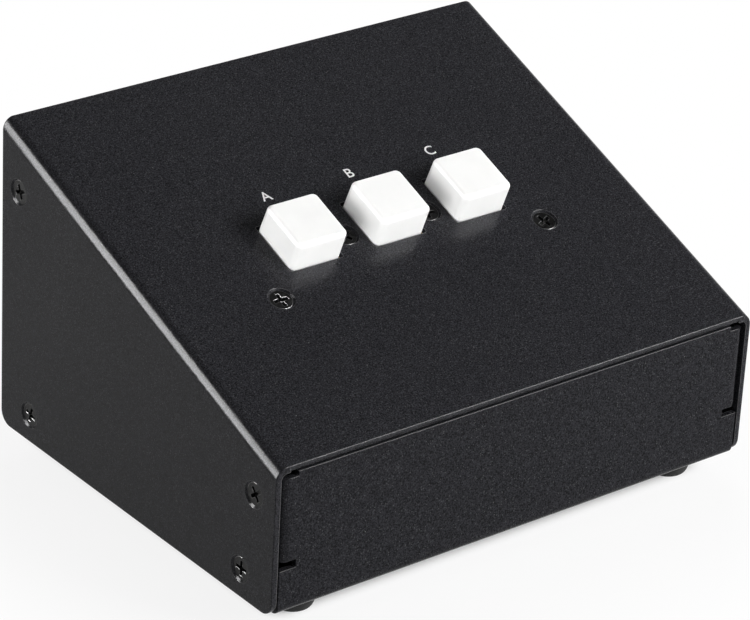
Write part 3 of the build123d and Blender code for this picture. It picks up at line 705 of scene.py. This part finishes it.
# Camera
flat_way = Vector((sin(CAM_AZIMUTH), -cos(CAM_AZIMUTH), 0))
back = flat_way * cos(CAM_ELEVATION) + UP * sin(CAM_ELEVATION)
level_x = (-back).cross(UP).normalized()
level_y = (-back).cross(level_x)
image_x = level_x * cos(CAM_ROLL) - level_y * sin(CAM_ROLL)
image_y = level_x * sin(CAM_ROLL) + level_y * cos(CAM_ROLL)
axes = Matrix((image_x, -image_y, back)).transposed()
eye = -(image_x * CAM_AIM.x + image_y * CAM_AIM.y - back * CAM_AIM.z) * MM
lens = bpy.data.cameras.new("camera")
lens.sensor_width = SENSOR_W
lens.lens = CAM_FOCAL_PX / IMAGE_W * SENSOR_W
lens.clip_start = CAM_CLIP_START
camera = link(bpy.data.objects.new("camera", lens))
camera.matrix_world = Matrix.Translation(eye) @ axes.to_4x4()
bpy.context.scene.camera = camera


# Floor: white where the camera, gloss and glass see it, with the object's own shadow kept round it
def seen(tree):
    """1 for the rays that show the background: from the camera, off gloss and through glass."""
    path = add(tree, "ShaderNodeLightPath")
    shown = math(tree, "MAXIMUM", path.outputs["Is Camera Ray"], path.outputs["Is Glossy Ray"])
    return math(tree, "MAXIMUM", shown, path.outputs["Is Transmission Ray"])


half = FLOOR_SIZE / 2
corners = [(-half, -half, 0), (half, -half, 0), (half, half, 0), (-half, half, 0)]
floor_mesh = bpy.data.meshes.new("floor")
floor_mesh.from_pydata(corners, [], [(0, 1, 2, 3)])
floor = link(bpy.data.objects.new("floor", floor_mesh))
paper, tree, shader = principled("floor_paper", Roughness=0.9, Specular_IOR_Level=0.1)
shader.inputs["Base Color"].default_value = grey(FLOOR_GREY)
spot = add(tree, "ShaderNodeSeparateXYZ", Vector=place(tree))
outside = []
for axis, reach in (("X", cad_box[1].x), ("Y", -cad_box[0].y)):
    away = math(tree, "ABSOLUTE", spot.outputs[axis])
    away = math(tree, "SUBTRACT", away, reach - UNDER_EDGE)
    outside.append(math(tree, "MAXIMUM", away, 0.0))
apart = add(tree, "ShaderNodeCombineXYZ", X=outside[0], Y=outside[1]).outputs["Vector"]
apart = vector_math(tree, "LENGTH", apart)
near = times(tree, smooth(tree, apart, *CONTACT), 1.0 - SHADOW_SHARE)
bare = math(tree, "ADD", near, times(tree, smooth(tree, apart, *SHADOW), SHADOW_SHARE))
white = add(tree, "ShaderNodeEmission", Color=grey(1.0), Strength=1.0)
mixed = add(
    tree,
    "ShaderNodeMixShader",
    Fac=times(tree, seen(tree), bare),
    i1=shader.outputs["BSDF"],
    i2=white.outputs["Emission"],
)
tree.links.new(mixed.outputs["Shader"], tree.nodes["Material Output"].inputs["Surface"])
floor_mesh.materials.append(paper)

# World: a white backdrop under a dimmer ceiling
world = bpy.data.worlds.new("studio")
bpy.context.scene.world = world
world.use_nodes = True
tree = world.node_tree
background = tree.nodes["Background"]
ray = add(tree, "ShaderNodeTexCoord").outputs["Generated"]
steepness = add(tree, "ShaderNodeSeparateXYZ", Vector=ray).outputs["Z"]
tone = blend(tree, smooth(tree, steepness, *BACKDROP_TOP), grey(1.0), grey(CEILING_LEVEL))
strength = fit(tree, seen(tree), 0.0, 1.0, DIFFUSE_LEVEL, 1.0)
tree.links.new(tone, background.inputs["Color"])
tree.links.new(strength, background.inputs["Strength"])


# Lamps
def lamp(name, position, width, height, watts, gloss_only=False, receivers=None):
    """A soft rectangle that faces the object; it can light gloss alone, or some pieces alone."""
    area = bpy.data.lights.new(name, "AREA")
    area.shape = "RECTANGLE"
    area.size, area.size_y = width, height
    area.energy = watts
    lamp_object = link(bpy.data.objects.new(name, area))
    place_at = Vector(position)
    aim = (place_at - LAMP_AIM).to_track_quat("Z", "Y").to_matrix().to_4x4()
    lamp_object.matrix_world = Matrix.Translation(place_at) @ aim
    lamp_object.visible_camera = False
    lamp_object.visible_diffuse = not gloss_only
    if receivers:
        lamp_object.light_linking.receiver_collection = receivers


lit_keys = bpy.data.collections.new("lit_keys")
for key in KEYS:
    lit_keys.objects.link(frame["nodes"]["key_cap_" + key])
lamp("strip_left", (-0.27, 0.105, 0.135), 0.16, 0.24, 6.2, gloss_only=True)
lamp("strip_front", (0.56, -0.50, 0.60), 0.5, 0.5, 38.0, gloss_only=True)
lamp("softbox_keys", (-0.85, -0.50, 0.08), 0.5, 0.5, 13.0, receivers=lit_keys)
lamp("softbox_front", (0.62, -0.84, 0.62), 0.6, 0.6, 13.8)
lamp("softbox_rear", (0.62, 0.80, 0.45), 0.5, 0.5, 7.0)

bpy.context.scene.view_settings.view_transform = "Standard"
